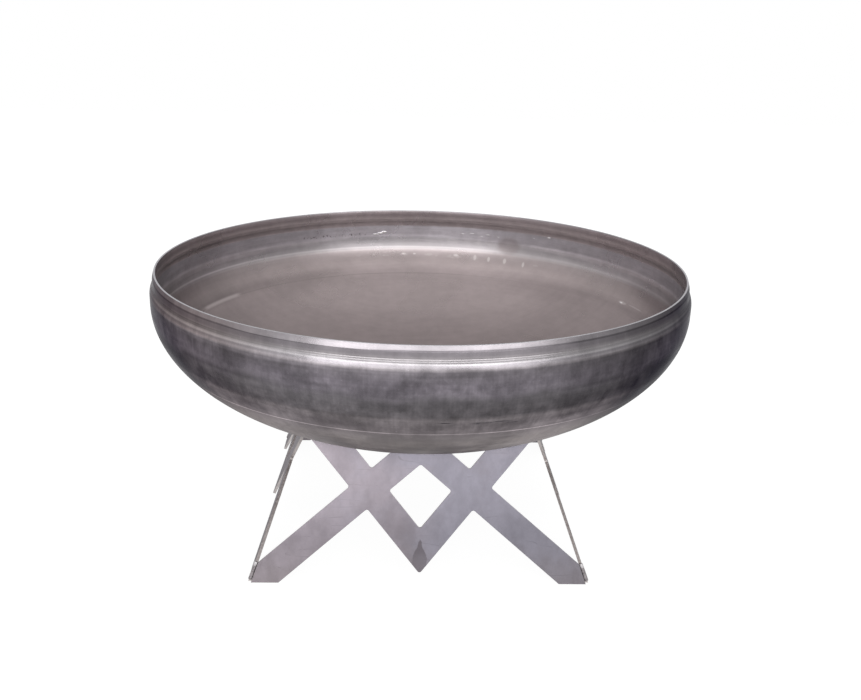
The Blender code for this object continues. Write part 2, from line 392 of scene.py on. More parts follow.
# The outside's steel. Values that go to fade are in its order: start, end, low and high.
outsideFinish = {
    "metallic": 1.0, "fixed": {"Specular Tint": (0.38, 0.38, 0.40, 1)},
    "grains": {
        "blot": {"stretch": (18, 18, 17), "detail": 4.0, "roughness": 0.62, "distortion": 0.3},
        "fine": {"stretch": (55, 55, 45), "detail": 4.0, "roughness": 0.65},
        "speckle": {"stretch": (260, 260, 260), "detail": 2.0},
        "swell": {"stretch": (7, 7, 10), "detail": 1.0, "roughness": 0.4},
    },
    "wallGrains": {
        "streak": {"along": 4.0, "up": 150.0},
        "hair": {"along": 95.0, "up": 7.0, "roughness": 0.65},
    },
    # Colour at each depth in millimetres under the rim. Partly the steel's own bands, such as the dark scale,
    # and partly painted highlight and shade: the bright bevel with a dark band under it, the bright ridge and
    # joggle bands, and a lighter underside.
    "zones": [
        (0, (0.262, 0.243, 0.258)), (6.0, (0.262, 0.243, 0.258)), (6.8, (0.130, 0.119, 0.129)),
        (8.6, (0.130, 0.119, 0.129)), (9.4, (0.215, 0.197, 0.213)), (14, (0.22, 0.202, 0.217)),
        (17, (0.28, 0.258, 0.272)), (18.6, (0.34, 0.318, 0.330)), (20.6, (0.42, 0.395, 0.41)),
        (21.8, (0.265, 0.25, 0.26)), (24.4, (0.45, 0.427, 0.444)), (26.5, (0.235, 0.22, 0.235)),
        (30.5, (0.33, 0.305, 0.324)), (32, (0.31, 0.284, 0.30)), (35, (0.175, 0.16, 0.175)),
        (54, (0.185, 0.167, 0.19)), (66, (0.205, 0.186, 0.21)), (78.5, (0.125, 0.116, 0.125)),
        (88, (0.108, 0.1, 0.107)), (103, (0.12, 0.11, 0.117)), (106, (0.138, 0.125, 0.131)),
        (110, (0.19, 0.171, 0.178)), (117, (0.188, 0.169, 0.176)), (126, (0.165, 0.148, 0.154)),
        (135, (0.19, 0.17, 0.176)), (147, (0.25, 0.227, 0.229)), (162, (0.285, 0.259, 0.254)),
        (300, (0.30, 0.271, 0.264)),
    ],
    # Painted highlight and shade: how a band's brightness changes round the bowl. Each entry holds the depth
    # where the band starts and how softly, in millimetres, then factors by angle from the front, in degrees.
    # The bands are the bevel, the lip, the pressed ridge, the joggle, the shelf under it, the side, the dark
    # scale and the dish in two parts, with an even middle.
    "turns": [
        (-5, 1.0, [(-60, 0.66), (-40, 0.84), (-28, 1.1), (-14, 1.38), (0, 0.92), (9, 1.18), (20, 0.84),
                   (38, 0.56), (55, 0.33)]),
        (8.2, 0.8, [(-60, 0.55), (-32, 0.72), (-16, 1.2), (0, 1.02), (9, 1.35), (24, 0.78), (36, 0.46),
                    (60, 0.34)]),
        (17.3, 0.6, [(-45, 0.38), (-22, 0.85), (0, 0.78), (9, 0.86), (26, 0.58), (60, 0.24)]),
        (21.6, 0.6, [(-60, 0.56), (-42, 0.78), (-26, 1.3), (-16, 1.36), (0, 0.86), (9, 1.12), (20, 0.77),
                     (60, 0.3)]),
        (31, 1.5, [(-60, 0.6), (-38, 0.82), (-18, 1.36), (-8, 1.1), (0, 1.03), (10, 1.08), (32, 0.42),
                   (60, 0.37)]),
        (38.5, 2.5, [(-60, 0.65), (-35, 0.56), (-20, 0.93), (-8, 0.82), (10, 0.97), (32, 0.42), (52, 0.4),
                     (60, 0.42)]),
        (75, 4, [(-52, 0.7), (-44, 0.92), (-24, 1.15), (-8, 1.12), (0, 0.9), (36, 0.72), (48, 0.42),
                 (60, 0.24)]),
        (104, 2, [(-52, 0.62), (-44, 1.02), (-32, 1.04), (0, 0.88), (20, 1.02), (34, 0.8), (50, 0.24)]),
        (124, 6, [(-56, 0.5), (-44, 1.2), (-34, 1.6), (-18, 1.35), (-4, 1.0), (8, 1.25), (28, 1.75),
                  (46, 0.42)]),
        (206, 14, [(-60, 1.0), (60, 1.0)]),
    ],
    # How far the zones' edges wander, and the depths where that starts and ends
    "uneven": 0.04, "unevenFrom": (0.042, 0.06), "unevenTo": (0.103, 0.092),
    # The bevel's bright colour, a painted highlight, reaches a little deeper left of the front
    "bevelReach": {"middle": -22, "reach": 18, "deeper": 0.002, "end": (0.0095, 0.008)},
    # Reach and spread of the mottling, of the streaks along the rim and of the fine upright scratches
    "spread": {"blot": (0.16, 0.26), "fine": (0.2, 0.16), "streak": (0.18, 0.07), "hair": (0.2, 0.06)},
    # The lip and the dish are calmer than the side between them
    "lively": [(0.024, 0.036, 0.4, 1.0), (0.12, 0.15, 1.0, 0.4)],
    "freckles": (0.66, 0.78, 1.0, 1.3),
    # The left is browner: fully near the rim, and by the share further down
    "brown": (1.03, 0.93, 0.89), "brownAngles": (-22, -50), "brownDepths": (0.036, 0.030), "brownShare": 0.35,
    # A painted highlight line on the dish, where the bowl's curve changes: depth, half height and softness
    "ring": (0.1372, 0.0006, 0.0006), "ringHighlight": 2.6, "ringBreaks": (0.35, 0.6, 0.5, 1.0),
    # Dark scores near the front, as markSum takes them
    "scores": [
        (9.8, 2.8, 115.5, 2.6), (13.6, 2.4, 114.5, 2.0), (15.5, 1.6, 118.0, 1.5), (3.0, 1.8, 113.5, 1.4),
    ],
    "scoreColour": (0.06, 0.055, 0.06), "scoreBreaks": (0.42, 0.58, 0.35, 0.9),
    "rough": {"blot": (0.3, 0.7, 0.26, 0.35), "streak": (0.3, 0.7, -0.03, 0.04)},
    "roughDish": (0.11, 0.15, 0.0, 0.12),
    "fineBump": 0.06, "bump": (0.0012, 0.8),
}


def makeOutsideSteel():
    finish = outsideFinish
    material, tree, shader = newMaterial("bowl_outside_steel", finish)
    spot = bowlCoordinates(tree)
    depth, angle = spot["depth"], spot["angle"]
    grains = bowlGrains(tree, spot, finish)

    # The dark scale's upper edge is uneven, and its lower edge is straight.
    loose = product(tree, fade(tree, depth, *finish["unevenFrom"]), fade(tree, depth, *finish["unevenTo"]))
    uneven = product(tree, centred(tree, grains["blot"], finish["uneven"]), loose)
    # Painted highlight: the bright bevel colour ends deeper on the left
    bevelReach = finish["bevelReach"]
    away = calc(tree, "ABSOLUTE", calc(tree, "SUBTRACT", angle, math.radians(bevelReach["middle"])))
    ground = product(tree, fadeAngle(tree, away, bevelReach["reach"], bevelReach["reach"] / 2, 0.0, bevelReach["deeper"]),
                     fade(tree, depth, *bevelReach["end"]))
    level = calc(tree, "SUBTRACT", calc(tree, "ADD", depth, uneven), ground)
    # The zone colours carry painted highlights and shade along with the steel's own bands
    zones = zoneColour(tree, level, finish["zones"])

    lively = product(tree, *(fade(tree, depth, *values) for values in finish["lively"]))
    shade = partly(tree, mottled(tree, grains, finish["spread"]), lively)
    freckles = fade(tree, grains["speckle"], *finish["freckles"])
    # Painted highlight and shade, band by band, by angle round the bowl
    turned = paintedLightByAngle(tree, depth, angle, finish["turns"])
    wearAndPaintedLight = scaled(tree, zones, product(tree, shade, freckles, turned))
    left = fadeAngle(tree, angle, *finish["brownAngles"])
    upper = calc(tree, "MAXIMUM", fade(tree, depth, *finish["brownDepths"]), finish["brownShare"])
    browner = mixColour(tree, 1.0, wearAndPaintedLight, finish["brown"], "MULTIPLY")
    wearAndPaintedLight = mixColour(tree, product(tree, left, upper), wearAndPaintedLight, browner)

    # Painted highlight: a thin line on the dish, brighter by the ring's factor
    ring = product(tree, line(tree, depth, *finish["ring"]),
                   fade(tree, grains["streak"], *finish["ringBreaks"]))
    scores = product(tree, markSum(tree, angle, depth, finish["scores"]),
                     fade(tree, grains["fine"], *finish["scoreBreaks"]))
    ringHighlightColour = scaled(tree, wearAndPaintedLight, finish["ringHighlight"])
    colour = painted(tree, wearAndPaintedLight, (ring, ringHighlightColour), (scores, finish["scoreColour"]))

    rough = fade(tree, depth, *finish["roughDish"])
    for name, values in finish["rough"].items():
        rough = calc(tree, "ADD", rough, fade(tree, grains[name], *values))
    height = calc(tree, "ADD", grains["swell"], product(tree, grains["fine"], finish["fineBump"]))
    dress(tree, shader, colour, rough, height, *finish["bump"])
    return material


# The inside's steel, with its angles from the back
insideFinish = {
    "metallic": 0.75, "fixed": {"Specular Tint": (0.6, 0.6, 0.6, 1), "Specular IOR Level": 0.3},
    "grains": {
        "cloud": {"stretch": (7, 7, 10)},
        "fine": {"stretch": (50, 50, 70), "detail": 4.0, "roughness": 0.65},
        "rolled": {"stretch": (4, 70, 4), "turn": (0, 0, 0.05)},
        "swell": {"stretch": (8, 8, 8), "detail": 1.0, "roughness": 0.4},
    },
    "wallGrains": {
        "around": {"along": 4.0, "up": 150.0},
        "dots": {"along": 110.0, "up": 260.0, "detail": 1.0, "roughness": 0.5},
    },
    # Colour at each depth in millimetres under the rim: partly the steel's own tones, and partly painted
    # highlight and shade, such as the light wall band under the lip and the brighter band where the knuckle's
    # highlight falls
    "zones": [
        (0, (0.36, 0.315, 0.325)), (10, (0.37, 0.32, 0.33)), (17, (0.52, 0.46, 0.465)),
        (33, (0.53, 0.47, 0.48)), (36, (0.63, 0.605, 0.65)), (56, (0.62, 0.59, 0.63)),
        (63, (0.38, 0.355, 0.37)), (70, (0.27, 0.251, 0.26)), (77, (0.265, 0.245, 0.253)),
        (82, (0.335, 0.31, 0.317)), (85, (0.38, 0.34, 0.345)), (88, (0.32, 0.278, 0.28)),
        (96, (0.30, 0.257, 0.258)), (108, (0.32, 0.272, 0.272)), (114, (0.32, 0.272, 0.272)),
        (127, (0.250, 0.211, 0.212)), (300, (0.243, 0.205, 0.205)),
    ],
    # Painted highlight and shade by angle from the back. The bands are the lip, the wall, the bend under it,
    # the knuckle with the upper floor, and the rest of the floor, with an even middle.
    "turns": [
        (-5, 1.0, [(-65, 0.72), (-40, 0.95), (-14, 1.26), (6, 1.1), (30, 1.2), (65, 1.15)]),
        (35, 1.0, [(-65, 0.53), (-45, 0.65), (-28, 0.82), (-12, 1.13), (0, 1.0), (18, 1.12), (36, 0.9),
                   (65, 0.85)]),
        (58, 3.0, [(-65, 0.89), (-35, 1.08), (-16, 0.95), (2, 0.96), (22, 1.35), (36, 1.5), (65, 1.44)]),
        (82, 3.0, [(-65, 0.64), (-45, 0.93), (-14, 1.13), (0, 1.12), (15, 1.26), (34, 1.16), (65, 0.90)]),
        (132, 8.0, [(-65, 0.9), (-45, 1.04), (-15, 0.97), (30, 1.03), (65, 1.06)]),
        (185, 25.0, [(-65, 1.0), (65, 1.0)]),
    ],
    "spread": {"cloud": (0.16, 0.05), "rolled": (0.15, 0.02)},
    # These two are weaker on the floor, where their last value is the share that is left. The floor turns
    # into the wall between the steep depths.
    "wallSpread": {"fine": (0.2, 0.07, 0.45), "around": (0.18, 0.07, 0.3)}, "steep": (0.085, 0.06),
    # A painted highlight line along the knuckle, and the ring below it: depth, half height and
    # softness. Two windows hold a painted highlight arc on the ring and a row of small dark dots.
    "knuckleHighlight": (0.0802, 0.0009, 0.0018), "knuckleHighlightShare": (20, 34, 0.6, 0.2),
    "ring": (0.1325, 0.0007, 0.0008), "ringShare": (0.0, 0.2, 0.35, 0.06),
    "arc": {"angles": (-72.5, -57.5), "softAngle": 1.5, "depths": (0.129, 0.134), "softDepth": 0.002},
    "dotRow": {"angles": (-33, -14), "softAngle": 2, "depths": (0.0495, 0.0545), "softDepth": 0.0012},
    "dotBreaks": (0.55, 0.66, 0.0, 0.8),
    # Marks at the back, as markSum takes them: dashes, ticks, a browner patch, and painted glints on nicks
    # and elsewhere
    "dashes": [
        (-16.8, 0.9, 97, 3.4), (-12.5, 0.7, 96, 2.4), (-9.0, 1.1, 98, 2.2), (-3.8, 1.4, 96, 2.6),
        (3.2, 1.5, 96, 3.0), (5.4, 0.5, 98, 2.0), (10.5, 2.4, 98, 5.5), (16.5, 1.6, 98, 6.0),
        (34.5, 1.0, 98, 2.4),
    ],
    "dentTrails": [(67.0, 2.0, 119.5, 3.6), (73.0, 4.0, 118.0, 1.6)], "dashBreaks": (0.42, 0.58, 0.2, 0.6),
    "ticks": [
        (16.5, 0.55, 97, 7.0), (20.5, 0.5, 98, 6.5), (25.2, 0.6, 98, 7.0), (30.8, 0.45, 100, 6.5),
        (11.0, 0.9, 95, 3.0), (-3.8, 0.7, 95, 2.2), (-0.8, 0.5, 95, 2.0),
    ],
    "patch": [(25.8, 4.2, 66.0, 24.0)],
    "nickGlints": [
        (-10.3, 1.0, 51.0, 2.4), (-9.3, 0.9, 48.5, 2.6), (-11.6, 0.9, 53.0, 1.4), (37.5, 0.6, 36.0, 2.0),
    ],
    "glints": [
        (12.6, 0.4, 49.0, 1.5), (15.2, 0.8, 46.5, 1.0), (17.9, 0.5, 51.5, 1.0), (19.6, 0.7, 47.0, 1.2),
        (22.6, 0.4, 49.5, 1.0), (33.0, 0.4, 42.0, 1.2), (66.5, 0.8, 120.0, 1.3),
    ],
    "shares": {"arc": 0.6, "ticks": 0.8, "patch": 0.5, "glints": 0.55},
    "colours": {
        "knuckleHighlight": (0.52, 0.48, 0.49), "ring": (0.14, 0.125, 0.12), "arc": (0.42, 0.37, 0.37),
        "dashes": (0.45, 0.40, 0.40), "ticks": (0.55, 0.50, 0.50), "dots": (0.18, 0.16, 0.17),
        "patch": (0.28, 0.232, 0.232), "bright": (0.95, 0.93, 0.93),
    },
    "rough": (0.3, 0.7, 0.26, 0.32),
    "fineBump": 0.04, "ringBump": 0.12, "brightBump": 0.35, "bump": (0.0012, 0.7),
}


def makeInsideSteel():
    finish, shares = insideFinish, insideFinish["shares"]
    material, tree, shader = newMaterial("bowl_inside_steel", finish)
    spot = bowlCoordinates(tree)
    depth, back = spot["depth"], spot["back"]
    grains = bowlGrains(tree, spot, finish)

    steep = fade(tree, depth, *finish["steep"])
    shade = mottled(tree, grains, finish["spread"])
    for name, (reach, spread, floorShare) in finish["wallSpread"].items():
        weight = fade(tree, steep, 0.0, 1.0, floorShare, 1.0)
        shade = product(tree, shade, partly(tree, varied(tree, grains[name], reach, spread), weight))
    # Painted highlight and shade by angle from the back, band by band
    shade = product(tree, shade, paintedLightByAngle(tree, depth, back, finish["turns"]))
    wearAndPaintedLight = scaled(tree, zoneColour(tree, depth, finish["zones"]), shade)

    # Painted highlight: a bright line along the knuckle, weaker on the right, and a light arc on the ring
    knuckleHighlight = line(tree, depth, *finish["knuckleHighlight"])
    ring = line(tree, depth, *finish["ring"])
    dashes = markSum(tree, back, depth, finish["dashes"] + finish["dentTrails"])
    dotRow = window(tree, back, depth, **finish["dotRow"])
    # Painted glints: the nicks at full strength, the other glints and a dent's glint weaker
    glints = product(tree, markSum(tree, back, depth, finish["glints"]), shares["glints"])
    bright = calc(tree, "MAXIMUM", markSum(tree, back, depth, finish["nickGlints"]), glints)
    coats = {
        "knuckleHighlight": product(tree, knuckleHighlight, fadeAngle(tree, back, *finish["knuckleHighlightShare"])),
        "ring": product(tree, ring, fade(tree, spot["x"], *finish["ringShare"])),
        "arc": product(tree, window(tree, back, depth, **finish["arc"]), shares["arc"]),
        "dashes": product(tree, dashes, fade(tree, grains["fine"], *finish["dashBreaks"])),
        "ticks": product(tree, markSum(tree, back, depth, finish["ticks"]), shares["ticks"]),
        "dots": product(tree, dotRow, fade(tree, grains["dots"], *finish["dotBreaks"])),
        "patch": product(tree, markSum(tree, back, depth, finish["patch"]), shares["patch"]),
        "bright": bright,
    }
    colour = painted(tree, wearAndPaintedLight, *((share, finish["colours"][name]) for name, share in coats.items()))

    height = grains["swell"]
    for name, part in {"fineBump": grains["fine"], "ringBump": ring, "brightBump": bright}.items():
        height = calc(tree, "ADD", height, product(tree, part, finish[name]))
    dress(tree, shader, colour, fade(tree, grains["cloud"], *finish["rough"]), height, *finish["bump"])
    return material


rimFinish = {
    "metallic": 1.0, "colour": (0.38, 0.37, 0.39),
    "grains": {"cloud": {"stretch": (14, 14, 14)}},
    "wallGrains": {"scratch": {"along": 240.0, "up": 40.0}},
    "clouded": (0.3, 0.7, 0.0, 0.6), "cloudTint": (0.7, 0.7, 0.72),
    "scratched": (0.4, 0.7, 0.0, 0.5), "scratchTint": (1.3, 1.3, 1.3),
    "rough": (0.3, 0.7, 0.34, 0.46), "bump": 0.00004,
}


def makeRimSteel():
    finish = rimFinish
    material, tree, shader = newMaterial("ground_rim_steel", finish)
    grains = bowlGrains(tree, bowlCoordinates(tree), finish)
    scratch = grains["scratch"]
    clouded = fade(tree, grains["cloud"], *finish["clouded"])
    tone = mixColour(tree, clouded, finish["colour"], finish["cloudTint"], "MULTIPLY")
    scratched = fade(tree, scratch, *finish["scratched"])
    ground = mixColour(tree, scratched, tone, finish["scratchTint"], "MULTIPLY")
    dress(tree, shader, ground, fade(tree, scratch, *finish["rough"]), scratch, finish["bump"])
    return material


def bowlProfile():
    # Closed outline of the wall as (radius, height, zone): 0 outside, 1 inside, 2 ground rim
    size = bowlSize
    half = size["diameter"] / 2
    lean = math.tan(math.radians(size["lipLean"]))

    def lipRadius(depth):
        return half - size["lipInset"] - (size["lipHeight"] - depth) * lean

    def joggleRadius(depth):
        # Steepest under the lip, and upright where it meets the straight side
        left = 1 - (depth - size["lipHeight"]) / size["joggle"]
        return half - size["lipInset"] * left * left

    def pressed(depth):
        ridge = size["ridge"] * math.exp(-((depth - size["ridgeDepth"]) / size["ridgeWidth"]) ** 2)
        groove = size["groove"] * math.exp(-((depth - size["grooveDepth"]) / size["ridgeWidth"]) ** 2)
        return ridge - groove

    outer = []
    for i in range(size["lipPoints"]):
        depth = size["bevelHeight"] + (size["lipEnd"] - size["bevelHeight"]) * i / (size["lipPoints"] - 1)
        outer.append((lipRadius(depth), -depth))
    for i in range(size["finePoints"]):
        depth = size["fineDepth"] + size["fineStep"] * i
        radius = lipRadius(depth) if depth < size["lipHeight"] else joggleRadius(depth)
        outer.append((radius + pressed(depth), -depth))
    for i in range(size["joggleStart"], size["jogglePoints"] + 1):
        depth = size["lipHeight"] + size["joggle"] * i / size["jogglePoints"]
        outer.append((joggleRadius(depth) + pressed(depth), -depth))
    dish = (size["diameter"] - 2 * size["wall"]) / 4 + size["wall"]
    last = math.acos(size["drain"] / 2 / half)
    for i in range(size["dishPoints"] + 1):
        angle = last * i / size["dishPoints"]
        outer.append((half * math.cos(angle), -size["straight"] - dish * math.sin(angle)))

    # The inside is the outside moved in by the wall, and ends at the drain hole's edge.
    inner = []
    for i, (radius, height) in enumerate(outer):
        before, after = Vector(outer[max(i - 1, 0)]), Vector(outer[min(i + 1, len(outer) - 1)])
        way = (after - before).normalized()
        inner.append((radius + way.y * size["wall"], height - way.x * size["wall"]))
    inner[-1] = (size["drain"] / 2, inner[-1][1])
    inner = [point for point in inner if point[1] < -size["innerTop"]]

    # The ground rim between them has its outer edge broken and its inner edge rounded.
    land, inside = lipRadius(0) - size["bevelDepth"], lipRadius(0) - size["wall"]
    outerEdge, innerEdge = size["outerEdge"], size["innerEdge"]
    bevelEnd = (lipRadius(size["bevelHeight"]) - outerEdge / 4, outerEdge - size["bevelHeight"])
    rounded = [(inside, -innerEdge), (inside + innerEdge / 4, -innerEdge / 4), (inside + innerEdge, 0.0)]
    points = [(land, 0.0, 2)]
    points += [(r, z, 0) for r, z in [(land + outerEdge / 2, -outerEdge), bevelEnd] + outer]
    points += [(r, z, 1) for r, z in reversed(inner)] + [(r, z, 2) for r, z in rounded]
    return points


def newTree(name, inputs, output):
    # A Geometry Nodes tree with its named inputs and one output
    tree = bpy.data.node_groups.new(name, "GeometryNodeTree")
    for socket, kind in inputs.items():
        tree.interface.new_socket(name=socket, in_out="INPUT", socket_type="NodeSocket" + kind)
    tree.interface.new_socket(name=output, in_out="OUTPUT", socket_type="NodeSocketGeometry")
    return tree, tree.nodes.new("NodeGroupInput").outputs


def closeTree(tree, geometry):
    tree.links.new(geometry, tree.nodes.new("NodeGroupOutput").inputs[0])
    return tree


def bowlTree(materials):
    # Turns the profile round the axis: a grid with a column for each step and a row for each profile point
    inputs = {"Profile": "Geometry", "Steps round": "Int", "Profile points": "Int", "Rim height": "Float"}
    tree, given = newTree("turned_bowl", inputs, "Bowl")
    count = given["Profile points"]
    rows = calc(tree, "ADD", count, 1.0)
    columns = calc(tree, "ADD", given["Steps round"], 1.0)
    grid = addNode(tree, "GeometryNodeMeshGrid", {"Vertices X": columns, "Vertices Y": rows})
    index = addNode(tree, "GeometryNodeInputIndex").outputs[0]

    def fromProfile(kind, value, number):
        # The numbers start again after the last profile point. The quarter guards against rounding.
        point = calc(tree, "FLOOR", calc(tree, "MODULO", calc(tree, "ADD", number, 0.25), count))
        picked = {"Geometry": given["Profile"], "Value": value, "Index": point}
        return addNode(tree, "GeometryNodeSampleIndex", picked, data_type=kind).outputs[0]

    def zoneSocket():
        named = addNode(tree, "GeometryNodeInputNamedAttribute", {"Name": "zone"}, data_type="FLOAT")
        return named.outputs[0]

    column = calc(tree, "FLOOR", calc(tree, "DIVIDE", calc(tree, "ADD", index, 0.5), rows))
    row = calc(tree, "SUBTRACT", index, calc(tree, "MULTIPLY", column, rows))
    position = addNode(tree, "GeometryNodeInputPosition").outputs[0]
    profile = splitVector(tree, fromProfile("FLOAT_VECTOR", position, row))
    turn = calc(tree, "MULTIPLY", calc(tree, "DIVIDE", column, given["Steps round"]), math.tau)
    x, y = (product(tree, profile[0], calc(tree, way, turn)) for way in ("COSINE", "SINE"))
    turned = joinVector(tree, x, y, calc(tree, "ADD", profile[2], given["Rim height"]))
    shaped = addNode(tree, "GeometryNodeSetPosition", {"Geometry": grid.outputs["Mesh"], "Position": turned})

    # Each face takes the zone of the profile point where it starts.
    zone = fromProfile("FLOAT", zoneSocket(), index)
    stored = addNode(tree, "GeometryNodeStoreNamedAttribute",
                     {"Geometry": shaped.outputs[0], "Name": "zone", "Value": zone},
                     data_type="FLOAT", domain="FACE")
    joined = {"Geometry": stored.outputs[0], "Distance": bowlSize["join"]}
    merged = addNode(tree, "GeometryNodeMergeByDistance", joined)
    smooth = addNode(tree, "GeometryNodeSetShadeSmooth", {"Geometry": merged.outputs[0]})
    last = addNode(tree, "GeometryNodeRealizeInstances", {"Geometry": smooth.outputs[0]}).outputs[0]
    # The first material goes on every face, and each later one replaces it in its own zone.
    kept = zoneSocket()
    for number, material in enumerate(materials):
        chosen = {"Geometry": last, "Material": material}
        if number > 0:
            chosen["Selection"] = calc(tree, "COMPARE", kept, float(number), 0.4)
        last = addNode(tree, "GeometryNodeSetMaterial", chosen).outputs[0]
    return closeTree(tree, last)


def runTree(name, mesh, tree, values):
    # Runs a Geometry Nodes tree on a mesh and gives back a plain object
    holder = bpy.data.objects.new(name + "_guide", mesh)
    bpy.context.scene.collection.objects.link(holder)
    modifier = holder.modifiers.new("nodes", "NODES")
    modifier.node_group = tree
    for socket in tree.interface.items_tree:
        if socket.in_out == "INPUT" and socket.name in values:
            modifier[socket.identifier] = values[socket.name]
    made = bpy.data.meshes.new_from_object(holder.evaluated_get(bpy.context.evaluated_depsgraph_get()))
    holder.modifiers.remove(modifier)
    bpy.data.objects.remove(holder)
    made.name = name
    while made.materials and made.materials[0] is None:
        made.materials.pop(index=0)
    plain = bpy.data.objects.new(name, made)
    bpy.context.scene.collection.objects.link(plain)
    return plain


def faceOutwards(mesh):
    shape = bmesh.new()
    shape.from_mesh(mesh)
    bmesh.ops.recalc_face_normals(shape, faces=shape.faces)
    shape.to_mesh(mesh)
    shape.free()


def makeBowl():
    points = bowlProfile()
    mesh = bpy.data.meshes.new("bowl_profile")
    mesh.from_pydata([(r, 0.0, z) for r, z, zone in points], [(i, i + 1) for i in range(len(points) - 1)], [])
    zones = mesh.attributes.new("zone", "FLOAT", "POINT")
    zones.data.foreach_set("value", [float(zone) for r, z, zone in points])
    tree = bowlTree([makeOutsideSteel(), makeInsideSteel(), makeRimSteel()])
    size = bowlSize
    values = {"Steps round": size["steps"], "Profile points": len(points), "Rim height": size["rimHeight"]}
    bowl = runTree("turned_bowl", mesh, tree, values)
    faceOutwards(bowl.data)
    bowl.data.set_sharp_from_angle(angle=math.radians(size["sharpFrom"]))
    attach(bowl, "bowl")
    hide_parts("bowl")
    return bowl


bowl = makeBowl()
print("bowl made:", len(bowl.data.polygons), "faces, finishes", [m.name for m in bowl.data.materials])

# The plates' faces. Places are in metres from the middle of the ground.
plateFinish = {
    "metallic": 0.95, "fixed": {"Specular Tint": (0.5, 0.5, 0.5, 1)},
    "grains": {
        "cloud": {"stretch": (6, 6, 9), "detail": 4.0, "distortion": 0.4},
        "smear": {"stretch": (30, 30, 14), "detail": 4.0, "roughness": 0.65, "turn": (0.3, 0.5, 0)},
        "fine": {"stretch": (90, 90, 90)},
        "lines": {"stretch": (4, 4, 40), "detail": 1.0, "roughness": 0.3, "turn": (0.2, 0.55, 0.3)},
    },
    # Warm on the left, cool on the right and browner at the foot, with edges that wander
    "warm": (0.168, 0.150, 0.167), "cool": (0.156, 0.149, 0.174), "foot": (0.165, 0.145, 0.150),
    "wander": 0.7, "across": (-0.16, 0.14), "footWander": 0.08, "footHeights": (0.07, 0.0, 0.0, 0.5),
    "spread": {"cloud": (0.16, 0.10), "smear": (0.18, 0.09), "fine": (0.2, 0.03)},
    # Painted light: the upper half and the left are brighter.
    "paintedLightWander": 0.12, "upper": (0.06, 0.16, 0.97, 1.27), "paintedLightLeft": (-0.26, 0.22, 1.2, 0.94),
    # A few long thin scratches, and the factor that darkens them
    "scratchWidth": (0.010, 0.002), "scratchWhere": (0.50, 0.60), "scratchShade": 0.80,
    # The stain on the front plate's lower point: heights, half widths, and how ragged and strong it is
    "stain": (0.095, 0.084, 0.094), "stainTop": 0.068, "stainNeck": 0.060, "stainWide": 0.036,
    "stainNarrow": 0.0034, "stainFlare": 0.0085, "stainRagged": 0.004, "stainEdge": (-0.0004, 0.0010),
    "stainShare": (0.035, 0.05, 0.6, 0.85), "frontOnly": (-0.2, -0.22),
    "rough": (0.3, 0.7, 0.38, 0.48), "cloudBump": 0.5, "fineBump": 0.05, "bump": (0.0006, 0.6),
}


def flameStain(tree, across, height):
    # A narrow tongue that flares out until it fills the plate's lower point
    finish = plateFinish
    tongue = fade(tree, height, finish["stainTop"], finish["stainNeck"], 0.0, finish["stainNarrow"])
    flare = fade(tree, height, finish["stainNeck"], finish["stainWide"], 0.0, finish["stainFlare"])
    inside = calc(tree, "SUBTRACT", calc(tree, "ADD", tongue, flare), calc(tree, "ABSOLUTE", across))
    return fade(tree, inside, *finish["stainEdge"])


def makePlateSteel():
    finish = plateFinish
    material, tree, shader = newMaterial("plate_steel", finish)
    place = objectPlace(tree)
    x, y, z = splitVector(tree, place)
    grains = makeGrains(tree, place, finish["grains"])

    wander = centred(tree, grains["cloud"], finish["wander"])
    side = fade(tree, calc(tree, "ADD", x, wander), *finish["across"])
    tint = mixColour(tree, side, finish["warm"], finish["cool"])
    low = calc(tree, "ADD", z, centred(tree, grains["smear"], finish["footWander"]))
    grounded = mixColour(tree, fade(tree, low, *finish["footHeights"]), tint, finish["foot"])

    # Painted light: brighter on the upper half, with a wandering edge
    paintedLightHeight = calc(tree, "ADD", z, product(tree, wander, finish["paintedLightWander"]))
    away = calc(tree, "ABSOLUTE", calc(tree, "SUBTRACT", grains["lines"], 0.5))
    scratches = product(tree, fade(tree, away, *finish["scratchWidth"]),
                        fade(tree, grains["smear"], *finish["scratchWhere"]))
    scratched = fade(tree, scratches, 0.0, 1.0, 1.0, finish["scratchShade"])
    # The shade factor holds painted light on the upper half and the left
    shade = product(tree, mottled(tree, grains, finish["spread"]), scratched,
                    fade(tree, paintedLightHeight, *finish["upper"]), fade(tree, x, *finish["paintedLightLeft"]))
    wearAndPaintedLight = scaled(tree, grounded, shade)
    ragged = calc(tree, "ADD", x, centred(tree, grains["fine"], finish["stainRagged"]))
    flame = product(tree, flameStain(tree, ragged, z), fade(tree, y, *finish["frontOnly"]),
                    fade(tree, z, *finish["stainShare"]))
    colour = painted(tree, wearAndPaintedLight, (flame, finish["stain"]))

    height = calc(tree, "ADD", product(tree, grains["cloud"], finish["cloudBump"]),
                  product(tree, grains["fine"], finish["fineBump"]))
    dress(tree, shader, colour, fade(tree, grains["cloud"], *finish["rough"]), height, *finish["bump"])
    return material


cutFinish = {
    "metallic": 0.85, "light": (0.50, 0.46, 0.45), "dark": (0.35, 0.318, 0.31), "bright": (0.60, 0.56, 0.55),
    "grains": {
        "lines": {"stretch": (300, 300, 60), "detail": 2.0, "roughness": 0.5},
        "cloud": {"stretch": (18, 18, 18), "roughness": 0.5},
    },
    "clouded": (0.3, 0.7), "lined": (0.4, 0.7, 0.0, 0.5), "rough": (0.3, 0.7, 0.42, 0.58), "bump": 0.00006,
}


